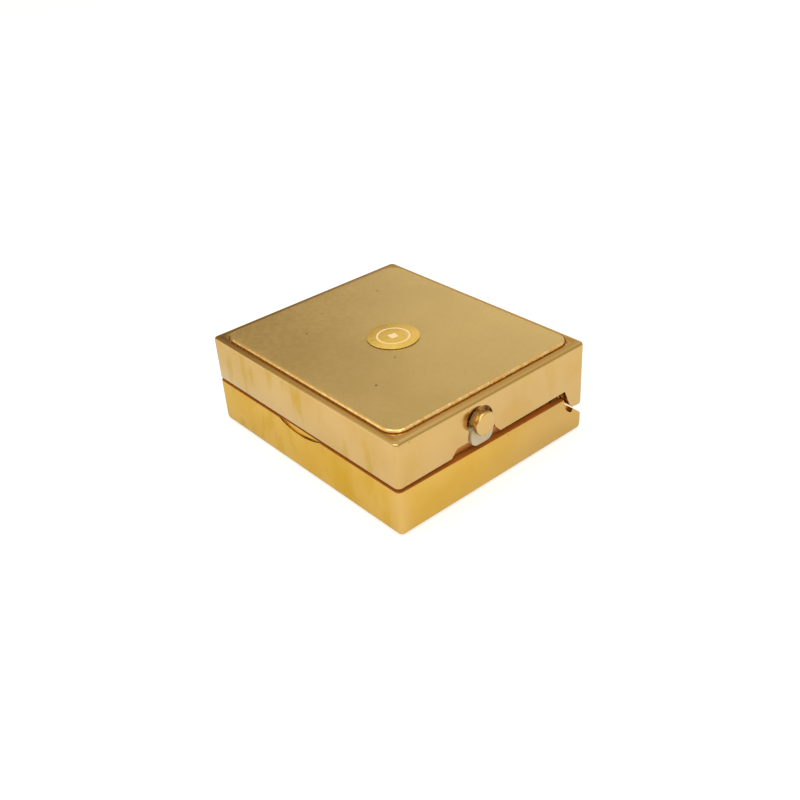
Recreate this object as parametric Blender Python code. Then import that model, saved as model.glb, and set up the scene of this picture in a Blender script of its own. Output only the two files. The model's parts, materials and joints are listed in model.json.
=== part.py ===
"""Metal pill box: a two-shell case with a rear hinge, a side push-button catch, a tray and a lid mirror.

Metres, +Z up. The origin is the centre of the underside. -Y is the front, with the thumbnail scoop,
+Y the back, with the hinge, and +X the side with the push button.
"""

from math import atan2, asin, cos, hypot, pi, radians, sin, tau

import bmesh
import bpy
from mathutils import Matrix, Vector

MM = 0.001
EPS = 0.5 * MM  # how far a cutter runs past the face it opens
SLIVER = 0.01 * MM  # keeps two faces of joined shapes from lying in one plane

# ---- driving dimensions -------------------------------------------------------------------------
BOX_LENGTH = 50.0 * MM  # along X
BOX_WIDTH = 43.0 * MM  # along Y
BASE_HEIGHT = 8.6 * MM
SEAM_GAP = 0.7 * MM
SEAM_TAPER = 0.68 * MM  # how much lower the base's edge is at the back than at the front
LID_HEIGHT = 8.1 * MM
WALL = 1.2 * MM
ROOF = 1.6 * MM  # thickness of the lid's top, before the plate's recess
CLEARANCE = 0.3 * MM  # between pieces that lie against each other
FINE_CLEARANCE = 0.1 * MM  # between pieces that are bonded or pressed together
SHELL_CORNER = 0.9 * MM
BASE_EDGE = 1.0 * MM
LID_EDGE = 0.4 * MM
LID_TAPER = 0.35 * MM  # how much higher the lid's lower edge is at the hinge than at the front
SMALL_CORNER = 0.4 * MM  # of the catch's plates

PIVOT_INSET = 1.6 * MM  # from the back face to the hinge axis
PIVOT_DROP = 0.85 * MM  # from the base's top edge down to the hinge axis
PIN_RADIUS = 0.6 * MM
PIN_CLEARANCE = 0.06 * MM
PIN_COVER = 0.5 * MM  # of the ear's outer face over the end of the pin's bore
PIN_END_GAP = 0.1 * MM
EAR_RADIUS = 2.28 * MM
EAR_WIDTH = 1.6 * MM
EAR_CORNER = 0.95 * MM
EAR_REACH = 3.3 * MM  # from the hinge axis forward to where the ear meets the lid's edge
NOTCH_RADIUS = 3.45 * MM
NOTCH_END_ANGLE = radians(246)
GROOVE_RIDGE_INSET = 2.6 * MM  # from the back face to the ridge between the notch and the rear groove
GROOVE_RIDGE_HEIGHT = 5.25 * MM
GROOVE_FOOT_HEIGHT = 3.05 * MM
BACK_BLOCK = 6.3 * MM  # depth of the solid back of the base
BARREL_RADIUS = 1.6 * MM
BARREL_SLOT = 0.45 * MM  # between the barrel and the lid's back wall
CHEEK_THICKNESS = 1.0 * MM  # of the plate at each end of the barrel, which closes the notch behind the ear
CHEEK_GAP = 0.2 * MM  # between that plate and the notch
LEAF_THICKNESS = 0.8 * MM
LEAF_INSET = 3.0 * MM  # from the hinge axis forward to the leaf
LEAF_DROP = 3.4 * MM  # below the hinge axis
LEAF_WEB = 0.8 * MM  # half height of the web from the leaf to the barrel
LEAF_SCREW_DROP = 2.05 * MM  # below the hinge axis
LEAF_SCREW_SPACING = 14.0 * MM

RIM_WALL = 0.8 * MM
RIM_RISE = 1.8 * MM  # above the base's top edge
RIM_FOOT = 2.6 * MM  # height of its foot above the base's floor
STRIKE_DROP = 0.2 * MM  # of the strike plate below the rim's top

SCOOP_X = -0.5 * MM
SCOOP_RADIUS = 15.6 * MM
SCOOP_DEPTH = 1.1 * MM  # below the base's top edge
SCOOP_REACH = 0.3 * MM  # into the front wall

PLATE_LENGTH = 46.3 * MM
PLATE_WIDTH = 40.3 * MM
PLATE_RISE = 0.5 * MM
PLATE_THICKNESS = 0.9 * MM
PLATE_CORNER = 2.8 * MM
PLATE_BEVEL = 0.35 * MM
LABEL_RADIUS = 4.71 * MM
LABEL_THICKNESS = 0.12 * MM

BUTTON_Y = -3.8 * MM
BUTTON_HEIGHT = 13.45 * MM
BUTTON_RADIUS = 2.1 * MM
BUTTON_EDGE = 0.3 * MM
BUTTON_RISE = 1.4 * MM  # out of the side wall
BUTTON_TRAVEL = 0.9 * MM
OPENING_Y = -3.8 * MM
OPENING_HEIGHT = 13.4 * MM  # of the centre of its round top
OPENING_RADIUS = 2.75 * MM
OPENING_FOOT_Y = -4.75 * MM  # centre of the notch at the lid's edge
OPENING_FOOT = 5.65 * MM  # half width of the notch at the lid's edge
OPENING_SHOULDER = 4.3 * MM  # half width of the notch above its sloping sides
OPENING_SLOPE = 1.45 * MM  # height of its sloping sides
TONGUE_RISE = 0.3 * MM  # out of the side wall
TONGUE_TOP = 12.9 * MM
TONGUE_FOOT = 9.45 * MM
TONGUE_CORNER = 1.4 * MM
TONGUE_GAP = 0.35 * MM  # between its sides and the opening
NECK_INSET = 0.2 * MM
BACKPLATE_THICKNESS = 1.3 * MM
BACKPLATE_HALF = 3.6 * MM
BACKPLATE_HEIGHT = 4.75 * MM
BACKPLATE_CORNER = 0.6 * MM
HOOK_WIDTH = 3.2 * MM
HOOK_THICKNESS = 0.8 * MM
HOOK_NOSE = 0.2 * MM
HOOK_NOSE_HEIGHT = 0.9 * MM
HOOK_BRIDGE_RISE = 0.05 * MM  # of the bridge above the foot of the plate
STEM_RADIUS = 0.8 * MM
BOSS_RADIUS = 1.5 * MM
GUIDE_RADIUS = 0.5 * MM
GUIDE_LENGTH = 4.6 * MM
SPRING_RADIUS = 1.1 * MM
SPRING_WIRE = 0.18 * MM
SPRING_TURNS = 4
SPRING_SPACE = 2.8 * MM  # between the bracket and the slider
BRACKET_THICKNESS = 0.9 * MM
BRACKET_WIDTH = 15.0 * MM
BRACKET_FLANGE = 4.0 * MM
STRIKE_THICKNESS = 0.7 * MM
STRIKE_HEIGHT = 1.8 * MM
STRIKE_HALF = 5.2 * MM
SCREW_RADIUS = 0.55 * MM
SCREW_HEAD = 0.9 * MM
SCREW_HEAD_HEIGHT = 0.45 * MM
SCREW_BITE = 0.6 * MM  # of a screw in what it holds to
BRACKET_SCREW_HALF = 5.6 * MM
RIVET_BITE = 0.45 * MM  # of a rivet in the rim, which it doesn't pass through
RIVET_HALF = 4.1 * MM

TRAY_WALL = 0.8 * MM
TRAY_CORNER = 1.6 * MM
TRAY_HEIGHT = 6.3 * MM
DIVIDER_THICKNESS = 0.7 * MM
DIVIDER_DROP = 0.4 * MM  # below the tray's edge

MIRROR_LENGTH = 31.0 * MM
MIRROR_WIDTH = 28.0 * MM
MIRROR_X = -3.0 * MM
MIRROR_Y = -2.5 * MM
MIRROR_THICKNESS = 0.8 * MM
PAD_THICKNESS = 0.4 * MM
MIRROR_RIM = 1.1 * MM
MIRROR_LIP = 0.4 * MM
MIRROR_CORNER = 1.5 * MM

# ---- places worked out from them ------------------------------------------------------------------
LID_FOOT = BASE_HEIGHT + SEAM_GAP
LID_TOP = LID_FOOT + LID_HEIGHT
BACK = BOX_WIDTH / 2
FRONT = -BOX_WIDTH / 2
SIDE = BOX_LENGTH / 2
PIVOT_Y = BACK - PIVOT_INSET
PIVOT_Z = BASE_HEIGHT - PIVOT_DROP
BARREL_HALF = SIDE - EAR_WIDTH - CLEARANCE
CEILING = LID_TOP - ROOF
CAVITY_BACK = BACK - BACK_BLOCK
LEAF_FRONT = PIVOT_Y - LEAF_INSET
LEAF_HALF = BARREL_HALF - CHEEK_THICKNESS
RIM_X = SIDE - WALL - CLEARANCE
RIM_INNER = RIM_X - RIM_WALL
RIM_FRONT = FRONT + WALL + CLEARANCE
RIM_BACK = CAVITY_BACK - CLEARANCE
RIM_TOP = BASE_HEIGHT + RIM_RISE
STRIKE_X = RIM_INNER - CLEARANCE - STRIKE_THICKNESS
STRIKE_FOOT = RIM_TOP - STRIKE_DROP - STRIKE_HEIGHT
HOOK_X = STRIKE_X - CLEARANCE - HOOK_THICKNESS  # the hook's inner face
PLATE_FACE = SIDE - WALL - CLEARANCE  # the slider's face behind the lid's wall
BACKPLATE_X = PLATE_FACE - BACKPLATE_THICKNESS
BACKPLATE_FOOT = RIM_TOP + CLEARANCE + FINE_CLEARANCE
BRACKET_X = BACKPLATE_X - SPRING_SPACE - BRACKET_THICKNESS
BRACKET_TOP = CEILING - CLEARANCE
TRAY_FLOOR = WALL + CLEARANCE
TRAY_TOP = TRAY_FLOOR + TRAY_HEIGHT
TRAY_LEFT = -RIM_INNER + CLEARANCE
TRAY_RIGHT = HOOK_X - BUTTON_TRAVEL - CLEARANCE
TRAY_FRONT = RIM_FRONT + RIM_WALL + CLEARANCE
TRAY_BACK = RIM_BACK - RIM_WALL - CLEARANCE
DIVIDER_FOOT = TRAY_FLOOR + TRAY_WALL + FINE_CLEARANCE
DIVIDER_TOP = TRAY_TOP - DIVIDER_DROP
TRAY_MID_X = (TRAY_LEFT + TRAY_RIGHT) / 2
TRAY_MID_Y = (TRAY_FRONT + TRAY_BACK) / 2
PLATE_FOOT = LID_TOP + PLATE_RISE - PLATE_THICKNESS
LEAF_SCREW_Z = PIVOT_Z - LEAF_SCREW_DROP
LEAF_SCREW_X = [-LEAF_SCREW_SPACING, 0.0, LEAF_SCREW_SPACING]
RIVET_Y = [BUTTON_Y - RIVET_HALF, BUTTON_Y + RIVET_HALF]
RIVET_Z = STRIKE_FOOT + STRIKE_HEIGHT / 2
BRACKET_SCREW_Y = [BUTTON_Y - BRACKET_SCREW_HALF, BUTTON_Y + BRACKET_SCREW_HALF]
BRACKET_SCREW_X = BRACKET_X - BRACKET_FLANGE / 2


# ---- helpers --------------------------------------------------------------------------------------
def clear_scene():
    for obj in list(bpy.data.objects):
        bpy.data.objects.remove(obj, do_unlink=True)


def material(name, colour, roughness, metallic, alpha=1.0):
    mat = bpy.data.materials.new(name)
    mat.use_nodes = True
    shader = mat.node_tree.nodes["Principled BSDF"]
    shader.inputs["Base Color"].default_value = (*colour, 1.0)
    shader.inputs["Roughness"].default_value = roughness
    shader.inputs["Metallic"].default_value = metallic
    shader.inputs["Alpha"].default_value = alpha
    return mat


def add_object(name, mesh, mat=None, parent=None, smooth=False):
    obj = bpy.data.objects.new(name, mesh)
    bpy.context.scene.collection.objects.link(obj)
    if mat:
        mesh.materials.append(mat)
    if smooth:
        mesh.shade_smooth()
        mesh.set_sharp_from_angle(angle=radians(35))
    if parent:
        obj.parent = parent
        obj.matrix_parent_inverse = Matrix.Translation(-parent.location)
    return obj


def extruded(name, outline, low, high, axis="Z"):
    """A prism whose outline lies across an axis: (x, y) for Z, (y, z) for X and (x, z) for Y."""
    place = {
        "Z": lambda u, v, w: (u, v, w),
        "X": lambda u, v, w: (w, u, v),
        "Y": lambda u, v, w: (u, w, v),
    }[axis]
    bm = bmesh.new()
    foot = [bm.verts.new(place(u, v, low)) for u, v in outline]
    top = [bm.verts.new(place(u, v, high)) for u, v in outline]
    bm.faces.new(foot)
    bm.faces.new(top)
    for i in range(len(outline)):
        j = (i + 1) % len(outline)
        bm.faces.new((foot[i], foot[j], top[j], top[i]))
    bmesh.ops.recalc_face_normals(bm, faces=bm.faces)
    mesh = bpy.data.meshes.new(name)
    bm.to_mesh(mesh)
    bm.free()
    return mesh


def arc(centre, radius, start, end, steps):
    return [
        (
            centre[0] + radius * cos(start + (end - start) * i / steps),
            centre[1] + radius * sin(start + (end - start) * i / steps),
        )
        for i in range(steps + 1)
    ]


def rounded_rectangle(x0, x1, y0, y1, radius, steps=5):
    corners = [
        ((x1 - radius, y0 + radius), -pi / 2),
        ((x1 - radius, y1 - radius), 0.0),
        ((x0 + radius, y1 - radius), pi / 2),
        ((x0 + radius, y0 + radius), pi),
    ]
    points = []
    for centre, start in corners:
        points += arc(centre, radius, start, start + pi / 2, steps)
    return points


def bevel_level_edges(mesh, height, width, segments=2):
    """Round the edges that lie in one level plane."""
    bm = bmesh.new()
    bm.from_mesh(mesh)
    edges = [e for e in bm.edges if all(abs(v.co.z - height) < 1e-7 for v in e.verts)]
    bmesh.ops.bevel(bm, geom=edges, offset=width, segments=segments, profile=0.5, affect="EDGES")
    bm.to_mesh(mesh)
    bm.free()


def cylinder(name, radius, low, high, axis="X", centre=(0.0, 0.0), steps=24):
    return extruded(name, arc(centre, radius, 0.0, tau * (steps - 1) / steps, steps - 1), low, high, axis)


def boolean(obj, mesh, operation="DIFFERENCE"):
    """Cut or join a shape, kept as a hidden wire object beside the piece."""
    tool = add_object(f"{obj.name}_cutter", mesh)
    tool.hide_render = True
    tool.display_type = "WIRE"
    modifier = obj.modifiers.new(operation.title(), "BOOLEAN")
    modifier.operation = operation
    modifier.object = tool
    modifier.solver = "EXACT"


def turned(name, profile, origin, axis, steps=20):
    """A closed round piece from (distance along the axis, radius) points, first and last on the axis."""
    turn = Vector((0, 0, 1)).rotation_difference(Vector(axis)).to_matrix()
    bm = bmesh.new()
    rings = []
    for along, radius in profile:
        count = 1 if radius == 0.0 else steps
        ring = []
        for i in range(count):
            local = Vector((radius * cos(tau * i / steps), radius * sin(tau * i / steps), along))
            ring.append(bm.verts.new(Vector(origin) + turn @ local))
        rings.append(ring)
    for below, above in zip(rings, rings[1:]):
        for i in range(steps):
            j = (i + 1) % steps
            if len(below) == 1:
                bm.faces.new((below[0], above[j], above[i]))
            elif len(above) == 1:
                bm.faces.new((below[i], below[j], above[0]))
            else:
                bm.faces.new((below[i], below[j], above[j], above[i]))
    bmesh.ops.recalc_face_normals(bm, faces=bm.faces)
    mesh = bpy.data.meshes.new(name)
    bm.to_mesh(mesh)
    bm.free()
    return mesh


def screw_mesh(name, seat, axis, length):
    """A domed screw or rivet: the underside of its head is at the seat, and its head points along axis."""
    profile = [
        (-length, 0.0),
        (-length, SCREW_RADIUS),
        (0.0, SCREW_RADIUS),
        (0.0, SCREW_HEAD),
        (SCREW_HEAD_HEIGHT * 0.5, SCREW_HEAD),
        (SCREW_HEAD_HEIGHT * 0.9, SCREW_HEAD * 0.6),
        (SCREW_HEAD_HEIGHT, 0.0),
    ]
    return turned(name, profile, seat, axis, steps=14)


# ---- the base -------------------------------------------------------------------------------------
def notch_outline():
    """The hinge end of the base, seen from the side: a round notch, a ridge and a sloping rear groove."""
    top = BASE_HEIGHT + EPS
    start = pi - asin((top - PIVOT_Z) / NOTCH_RADIUS)
    ridge = (BACK - GROOVE_RIDGE_INSET, GROOVE_RIDGE_HEIGHT)
    slope = (GROOVE_FOOT_HEIGHT - GROOVE_RIDGE_HEIGHT) / GROOVE_RIDGE_INSET
    foot = (BACK + EPS, GROOVE_FOOT_HEIGHT + slope * EPS)
    notch = arc((PIVOT_Y, PIVOT_Z), NOTCH_RADIUS, start, NOTCH_END_ANGLE, 12)
    return notch + [ridge, foot, (BACK + EPS, top)]


def make_base_shell(mat):
    outline = rounded_rectangle(-SIDE, SIDE, FRONT, BACK, SHELL_CORNER)
    mesh = extruded("base_shell", outline, 0.0, BASE_HEIGHT)
    bevel_level_edges(mesh, 0.0, BASE_EDGE, 3)
    shell = add_object("base_shell", mesh, mat, smooth=True)
    cavity = rounded_rectangle(-SIDE + WALL, SIDE - WALL, FRONT + WALL, CAVITY_BACK, SHELL_CORNER)
    boolean(shell, extruded("base_cavity", cavity, WALL, BASE_HEIGHT + EPS))
    boolean(shell, extruded("hinge_notch", notch_outline(), -SIDE - EPS, SIDE + EPS, "X"))
    boolean(shell, leaf_recess())
    for x in LEAF_SCREW_X:
        depth = CLEARANCE + SCREW_BITE + CLEARANCE
        boolean(shell, leaf_screw_hole(x, LEAF_FRONT - depth, LEAF_FRONT))
    boolean(shell, extruded("seam_taper", seam_outline(), -SIDE - EPS, SIDE + EPS, "X"))
    scoop_axis = BASE_HEIGHT + SCOOP_RADIUS - SCOOP_DEPTH
    scoop = cylinder("scoop", SCOOP_RADIUS, FRONT - EPS, FRONT + SCOOP_REACH, "Y", (SCOOP_X, scoop_axis), 120)
    boolean(shell, scoop)
    return shell


def seam_outline():
    """The wedge taken off the base's top edge, nothing at the front and deepest at the back."""
    front, back, top = FRONT - EPS, BACK + EPS, BASE_HEIGHT + EPS
    return [(front, BASE_HEIGHT), (back, BASE_HEIGHT - SEAM_TAPER), (back, top), (front, top)]


def leaf_recess():
    """A flat seat for the hinge leaf in the front of the notch."""
    half = LEAF_HALF + CLEARANCE
    low = LEAF_FRONT - CLEARANCE
    high = LEAF_FRONT + LEAF_THICKNESS + CLEARANCE
    foot = PIVOT_Z - LEAF_DROP - CLEARANCE
    outline = [(-half, foot), (half, foot), (half, BASE_HEIGHT + EPS), (-half, BASE_HEIGHT + EPS)]
    return extruded("leaf_recess", outline, low, high, "Y")


def leaf_screw_hole(x, low, high):
    return cylinder("screw_hole", SCREW_RADIUS + FINE_CLEARANCE, low, high, "Y", (x, LEAF_SCREW_Z), 14)


def make_hinge_barrel(mat):
    """The knuckle on the base, joined to a leaf that is screwed to the back of the compartment."""
    barrel = add_object(
        "hinge_barrel",
        cylinder("hinge_barrel", BARREL_RADIUS, -BARREL_HALF, BARREL_HALF, "X", (PIVOT_Y, PIVOT_Z), 28),
        mat,
        smooth=True,
    )
    web_end = PIVOT_Y - BARREL_RADIUS / 2
    back = LEAF_FRONT + LEAF_THICKNESS
    outline = [
        (LEAF_FRONT, PIVOT_Z - LEAF_DROP),
        (back, PIVOT_Z - LEAF_DROP),
        (back, PIVOT_Z - LEAF_WEB),
        (web_end, PIVOT_Z - LEAF_WEB),
        (web_end, PIVOT_Z + LEAF_WEB),
        (LEAF_FRONT, PIVOT_Z + LEAF_WEB),
    ]
    boolean(barrel, extruded("leaf", outline, -LEAF_HALF - SLIVER, LEAF_HALF + SLIVER, "X"), "UNION")
    inner, outer = BARREL_HALF - CHEEK_THICKNESS, BARREL_HALF + SLIVER
    for low, high in ((inner, outer), (-outer, -inner)):
        boolean(barrel, extruded("cheek", cheek_outline(), low, high, "X"), "UNION")
    boolean(barrel, pin_bore(-BARREL_HALF - EPS, BARREL_HALF + EPS))
    for x in LEAF_SCREW_X:
        boolean(barrel, leaf_screw_hole(x, LEAF_FRONT - EPS, back + EPS))
    return barrel


def cheek_outline():
    """The end plate of the barrel, seen from the side: the notch's shape, a little smaller."""
    radius = NOTCH_RADIUS - CHEEK_GAP
    back = BACK - CHEEK_GAP
    top = BASE_HEIGHT - SEAM_TAPER - CHEEK_GAP
    start = pi - asin((top - PIVOT_Z) / radius)
    ridge = (BACK - GROOVE_RIDGE_INSET, GROOVE_RIDGE_HEIGHT + CHEEK_GAP)
    notch = arc((PIVOT_Y, PIVOT_Z), radius, start, NOTCH_END_ANGLE, 12)
    return notch + [ridge, (back, GROOVE_FOOT_HEIGHT + 2 * CHEEK_GAP), (back, top)]


def make_hinge_screws(mat):
    head = LEAF_FRONT + LEAF_THICKNESS + FINE_CLEARANCE
    length = LEAF_THICKNESS + FINE_CLEARANCE + CLEARANCE + SCREW_BITE
    for number, x in enumerate(LEAF_SCREW_X, 1):
        mesh = screw_mesh(f"hinge_screw_{number}", (x, head, LEAF_SCREW_Z), (0, 1, 0), length)
        add_object(mesh.name, mesh, mat, smooth=True)


def pin_bore(low, high):
    return cylinder("pin_bore", PIN_RADIUS + PIN_CLEARANCE, low, high, "X", (PIVOT_Y, PIVOT_Z), 20)


def make_hinge_pin(mat):
    end = SIDE - PIN_COVER - PIN_END_GAP
    mesh = cylinder("hinge_pin", PIN_RADIUS, -end, end, "X", (PIVOT_Y, PIVOT_Z), 20)
    return add_object("hinge_pin", mesh, mat, smooth=True)


def make_base_rim(mat):
    outline = rounded_rectangle(-RIM_X, RIM_X, RIM_FRONT, RIM_BACK, SHELL_CORNER)
    rim = add_object("base_rim", extruded("base_rim", outline, WALL + RIM_FOOT, RIM_TOP), mat, smooth=True)
    inner = rounded_rectangle(
        -RIM_X + RIM_WALL, RIM_X - RIM_WALL, RIM_FRONT + RIM_WALL, RIM_BACK - RIM_WALL, SHELL_CORNER
    )
    boolean(rim, extruded("rim_opening", inner, WALL + RIM_FOOT - EPS, RIM_TOP + EPS))
    for y in RIVET_Y:
        boolean(rim, rivet_hole(y, RIM_INNER - EPS, RIM_INNER + RIVET_BITE + FINE_CLEARANCE))
    return rim


def rivet_hole(y, low, high):
    return cylinder("rivet_hole", SCREW_RADIUS + FINE_CLEARANCE, low, high, "X", (y, RIVET_Z), 14)


def make_strike_plate(mat):
    """The plate that the catch's nose comes to rest under, riveted to the inside of the rim."""
    top = STRIKE_FOOT + STRIKE_HEIGHT
    low, high = BUTTON_Y - STRIKE_HALF, BUTTON_Y + STRIKE_HALF
    outline = rounded_rectangle(low, high, STRIKE_FOOT, top, SMALL_CORNER, 3)
    mesh = extruded("strike_plate", outline, STRIKE_X, STRIKE_X + STRIKE_THICKNESS, "X")
    strike = add_object("strike_plate", mesh, mat)
    for y in RIVET_Y:
        boolean(strike, rivet_hole(y, STRIKE_X - EPS, STRIKE_X + STRIKE_THICKNESS + EPS))
    return strike


def make_strike_rivets(mat):
    length = FINE_CLEARANCE + STRIKE_THICKNESS + CLEARANCE + RIVET_BITE
    for number, y in enumerate(RIVET_Y, 1):
        seat = (STRIKE_X - FINE_CLEARANCE, y, RIVET_Z)
        mesh = screw_mesh(f"strike_rivet_{number}", seat, (-1, 0, 0), length)
        add_object(mesh.name, mesh, mat, smooth=True)


def make_pill_tray(mat):
    """An open tray in the base, its right-hand end kept clear of the catch."""
    outline = rounded_rectangle(TRAY_LEFT, TRAY_RIGHT, TRAY_FRONT, TRAY_BACK, TRAY_CORNER)
    tray = add_object("pill_tray", extruded("pill_tray", outline, TRAY_FLOOR, TRAY_TOP), mat, smooth=True)
    inner = rounded_rectangle(
        TRAY_LEFT + TRAY_WALL,
        TRAY_RIGHT - TRAY_WALL,
        TRAY_FRONT + TRAY_WALL,
        TRAY_BACK - TRAY_WALL,
        TRAY_CORNER - TRAY_WALL,
    )
    boolean(tray, extruded("tray_hollow", inner, TRAY_FLOOR + TRAY_WALL, TRAY_TOP + EPS))
    return tray


def make_dividers(mat):
    """One divider along the tray and a shorter one across each half."""
    half = DIVIDER_THICKNESS / 2
    gap = TRAY_WALL + FINE_CLEARANCE
    x0, x1 = TRAY_LEFT + gap, TRAY_RIGHT - gap
    y0, y1 = TRAY_FRONT + gap, TRAY_BACK - gap
    near, far = TRAY_MID_Y - half, TRAY_MID_Y + half
    spans = {
        "divider_long": (x0, x1, near, far),
        "divider_cross_front": (TRAY_MID_X - half, TRAY_MID_X + half, y0, near - FINE_CLEARANCE),
        "divider_cross_back": (TRAY_MID_X - half, TRAY_MID_X + half, far + FINE_CLEARANCE, y1),
    }
    for name, (left, right, front, back) in spans.items():
        outline = [(left, front), (right, front), (right, back), (left, back)]
        add_object(name, extruded(name, outline, DIVIDER_FOOT, DIVIDER_TOP), mat)


# ---- the lid --------------------------------------------------------------------------------------
def ear_cut_outline():
    """What is cut from below the lid, seen from the side, leaving the ears round the hinge pin."""
    back_foot = LID_FOOT + LID_TAPER
    reach = (-EAR_REACH, back_foot - PIVOT_Z)
    distance = hypot(*reach)
    tangent = atan2(reach[1], reach[0]) + pi / 2 - asin(EAR_RADIUS / distance)
    low = PIVOT_Z - EAR_RADIUS
    lobe = arc((PIVOT_Y, PIVOT_Z), EAR_RADIUS, tangent, 3 * pi / 2, 6)
    corner = arc((BACK - EAR_CORNER, low + EAR_CORNER), EAR_CORNER, -pi / 2, 0.0, 5)
    front = FRONT - EPS
    foot = low - EPS
    return (
        [(front, foot), (front, LID_FOOT), (PIVOT_Y - EAR_REACH, back_foot)]
        + lobe
        + corner
        + [(BACK + EPS, low + EAR_CORNER), (BACK + EPS, foot)]
    )


def lid_cavity_outline():
    """The lid's hollow from above: full width, then narrower at the back between the ears."""
    x, y0, y1 = SIDE - WALL, FRONT + WALL, BACK - WALL
    step = PIVOT_Y - EAR_REACH
    ear = SIDE - EAR_WIDTH
    r = SHELL_CORNER
    return (
        [(-x, step)]
        + arc((-x + r, y0 + r), r, pi, 3 * pi / 2, 5)
        + arc((x - r, y0 + r), r, -pi / 2, 0.0, 5)
        + [(x, step), (ear, step), (ear, y1), (-ear, y1), (-ear, step)]
    )


def catch_opening_outline():
    """A round-topped opening with a wider notch with sloping sides at the lid's edge."""
    shoulder = LID_FOOT + OPENING_SLOPE
    run = (OPENING_FOOT - OPENING_SHOULDER) / OPENING_SLOPE
    low = LID_FOOT - EPS
    foot = OPENING_FOOT + run * EPS
    y, middle = OPENING_Y, OPENING_FOOT_Y
    return [
        (middle - foot, low),
        (middle + foot, low),
        (middle + OPENING_SHOULDER, shoulder),
        (y + OPENING_RADIUS, shoulder + OPENING_SLOPE),
        *arc((y, OPENING_HEIGHT), OPENING_RADIUS, 0.0, pi, 20),
        (y - OPENING_RADIUS, shoulder),
        (middle - OPENING_SHOULDER, shoulder),
    ]


def make_lid_shell(mat):
    outline = rounded_rectangle(-SIDE, SIDE, FRONT, BACK, SHELL_CORNER)
    mesh = extruded("lid_shell", outline, PIVOT_Z - EAR_RADIUS, LID_TOP)
    bevel_level_edges(mesh, LID_TOP, LID_EDGE)
    shell = add_object("lid_shell", mesh, mat, smooth=True)
    boolean(shell, extruded("lid_cavity", lid_cavity_outline(), 0.0, CEILING))
    boolean(shell, extruded("ear_cut", ear_cut_outline(), -SIDE - EPS, SIDE + EPS, "X"))
    half = SIDE - EAR_WIDTH
    top = PIVOT_Z + BARREL_RADIUS + BARREL_SLOT
    back_gap = [(-half, 0.0), (half, 0.0), (half, top), (-half, top)]
    boolean(shell, extruded("barrel_gap", back_gap, PIVOT_Y, BACK + EPS, "Y"))
    inside = SIDE - 2 * WALL
    boolean(shell, extruded("catch_opening", catch_opening_outline(), inside, SIDE + EPS, "X"))
    boolean(shell, pin_bore(-SIDE + PIN_COVER, SIDE - PIN_COVER))
    x, y = PLATE_LENGTH / 2 + CLEARANCE, PLATE_WIDTH / 2 + CLEARANCE
    recess = rounded_rectangle(-x, x, -y, y, PLATE_CORNER + CLEARANCE)
    boolean(shell, extruded("plate_recess", recess, PLATE_FOOT - FINE_CLEARANCE, LID_TOP + EPS))
    for y in BRACKET_SCREW_Y:
        boolean(shell, bracket_screw_hole(y, CEILING - EPS, CEILING + SCREW_BITE + FINE_CLEARANCE))
    return shell


def bracket_screw_hole(y, low, high):
    return cylinder("screw_hole", SCREW_RADIUS + FINE_CLEARANCE, low, high, "Z", (BRACKET_SCREW_X, y), 14)


def make_lid_plate(mat):
    x, y = PLATE_LENGTH / 2, PLATE_WIDTH / 2
    top = LID_TOP + PLATE_RISE
    mesh = extruded("lid_plate", rounded_rectangle(-x, x, -y, y, PLATE_CORNER, 7), PLATE_FOOT, top)
    bevel_level_edges(mesh, top, PLATE_BEVEL)
    return add_object("lid_plate", mesh, mat, smooth=True)


def make_round_label(mat):
    low = LID_TOP + PLATE_RISE + FINE_CLEARANCE
    mesh = cylinder("round_label", LABEL_RADIUS, low, low + LABEL_THICKNESS, "Z", steps=48)
    return add_object("round_label", mesh, mat, smooth=True)


def mirror_outline(grow):
    x, y = MIRROR_LENGTH / 2 + grow, MIRROR_WIDTH / 2 + grow
    radius = MIRROR_CORNER + grow
    return rounded_rectangle(MIRROR_X - x, MIRROR_X + x, MIRROR_Y - y, MIRROR_Y + y, radius)


def make_mirror(pad_mat, glass_mat, frame_mat):
    """A mirror bonded under the lid's roof, inside a frame with a thin lip under its edge."""
    pad_top = CEILING - FINE_CLEARANCE
    glass_top = pad_top - PAD_THICKNESS - FINE_CLEARANCE
    glass_foot = glass_top - MIRROR_THICKNESS
    pad = extruded("mirror_pad", mirror_outline(-MIRROR_RIM), pad_top - PAD_THICKNESS, pad_top)
    add_object("mirror_pad", pad, pad_mat)
    glass = extruded("mirror_glass", mirror_outline(0.0), glass_foot, glass_top)
    add_object("mirror_glass", glass, glass_mat)
    lip_top = glass_foot - FINE_CLEARANCE
    frame_foot = lip_top - MIRROR_LIP
    mesh = extruded("mirror_frame", mirror_outline(MIRROR_RIM), frame_foot, pad_top)
    frame = add_object("mirror_frame", mesh, frame_mat, smooth=True)
    boolean(frame, extruded("mirror_pocket", mirror_outline(FINE_CLEARANCE), lip_top, CEILING + EPS))
    window = mirror_outline(-MIRROR_LIP)
    boolean(frame, extruded("mirror_window", window, frame_foot - EPS, lip_top + FINE_CLEARANCE))
    return frame


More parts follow.
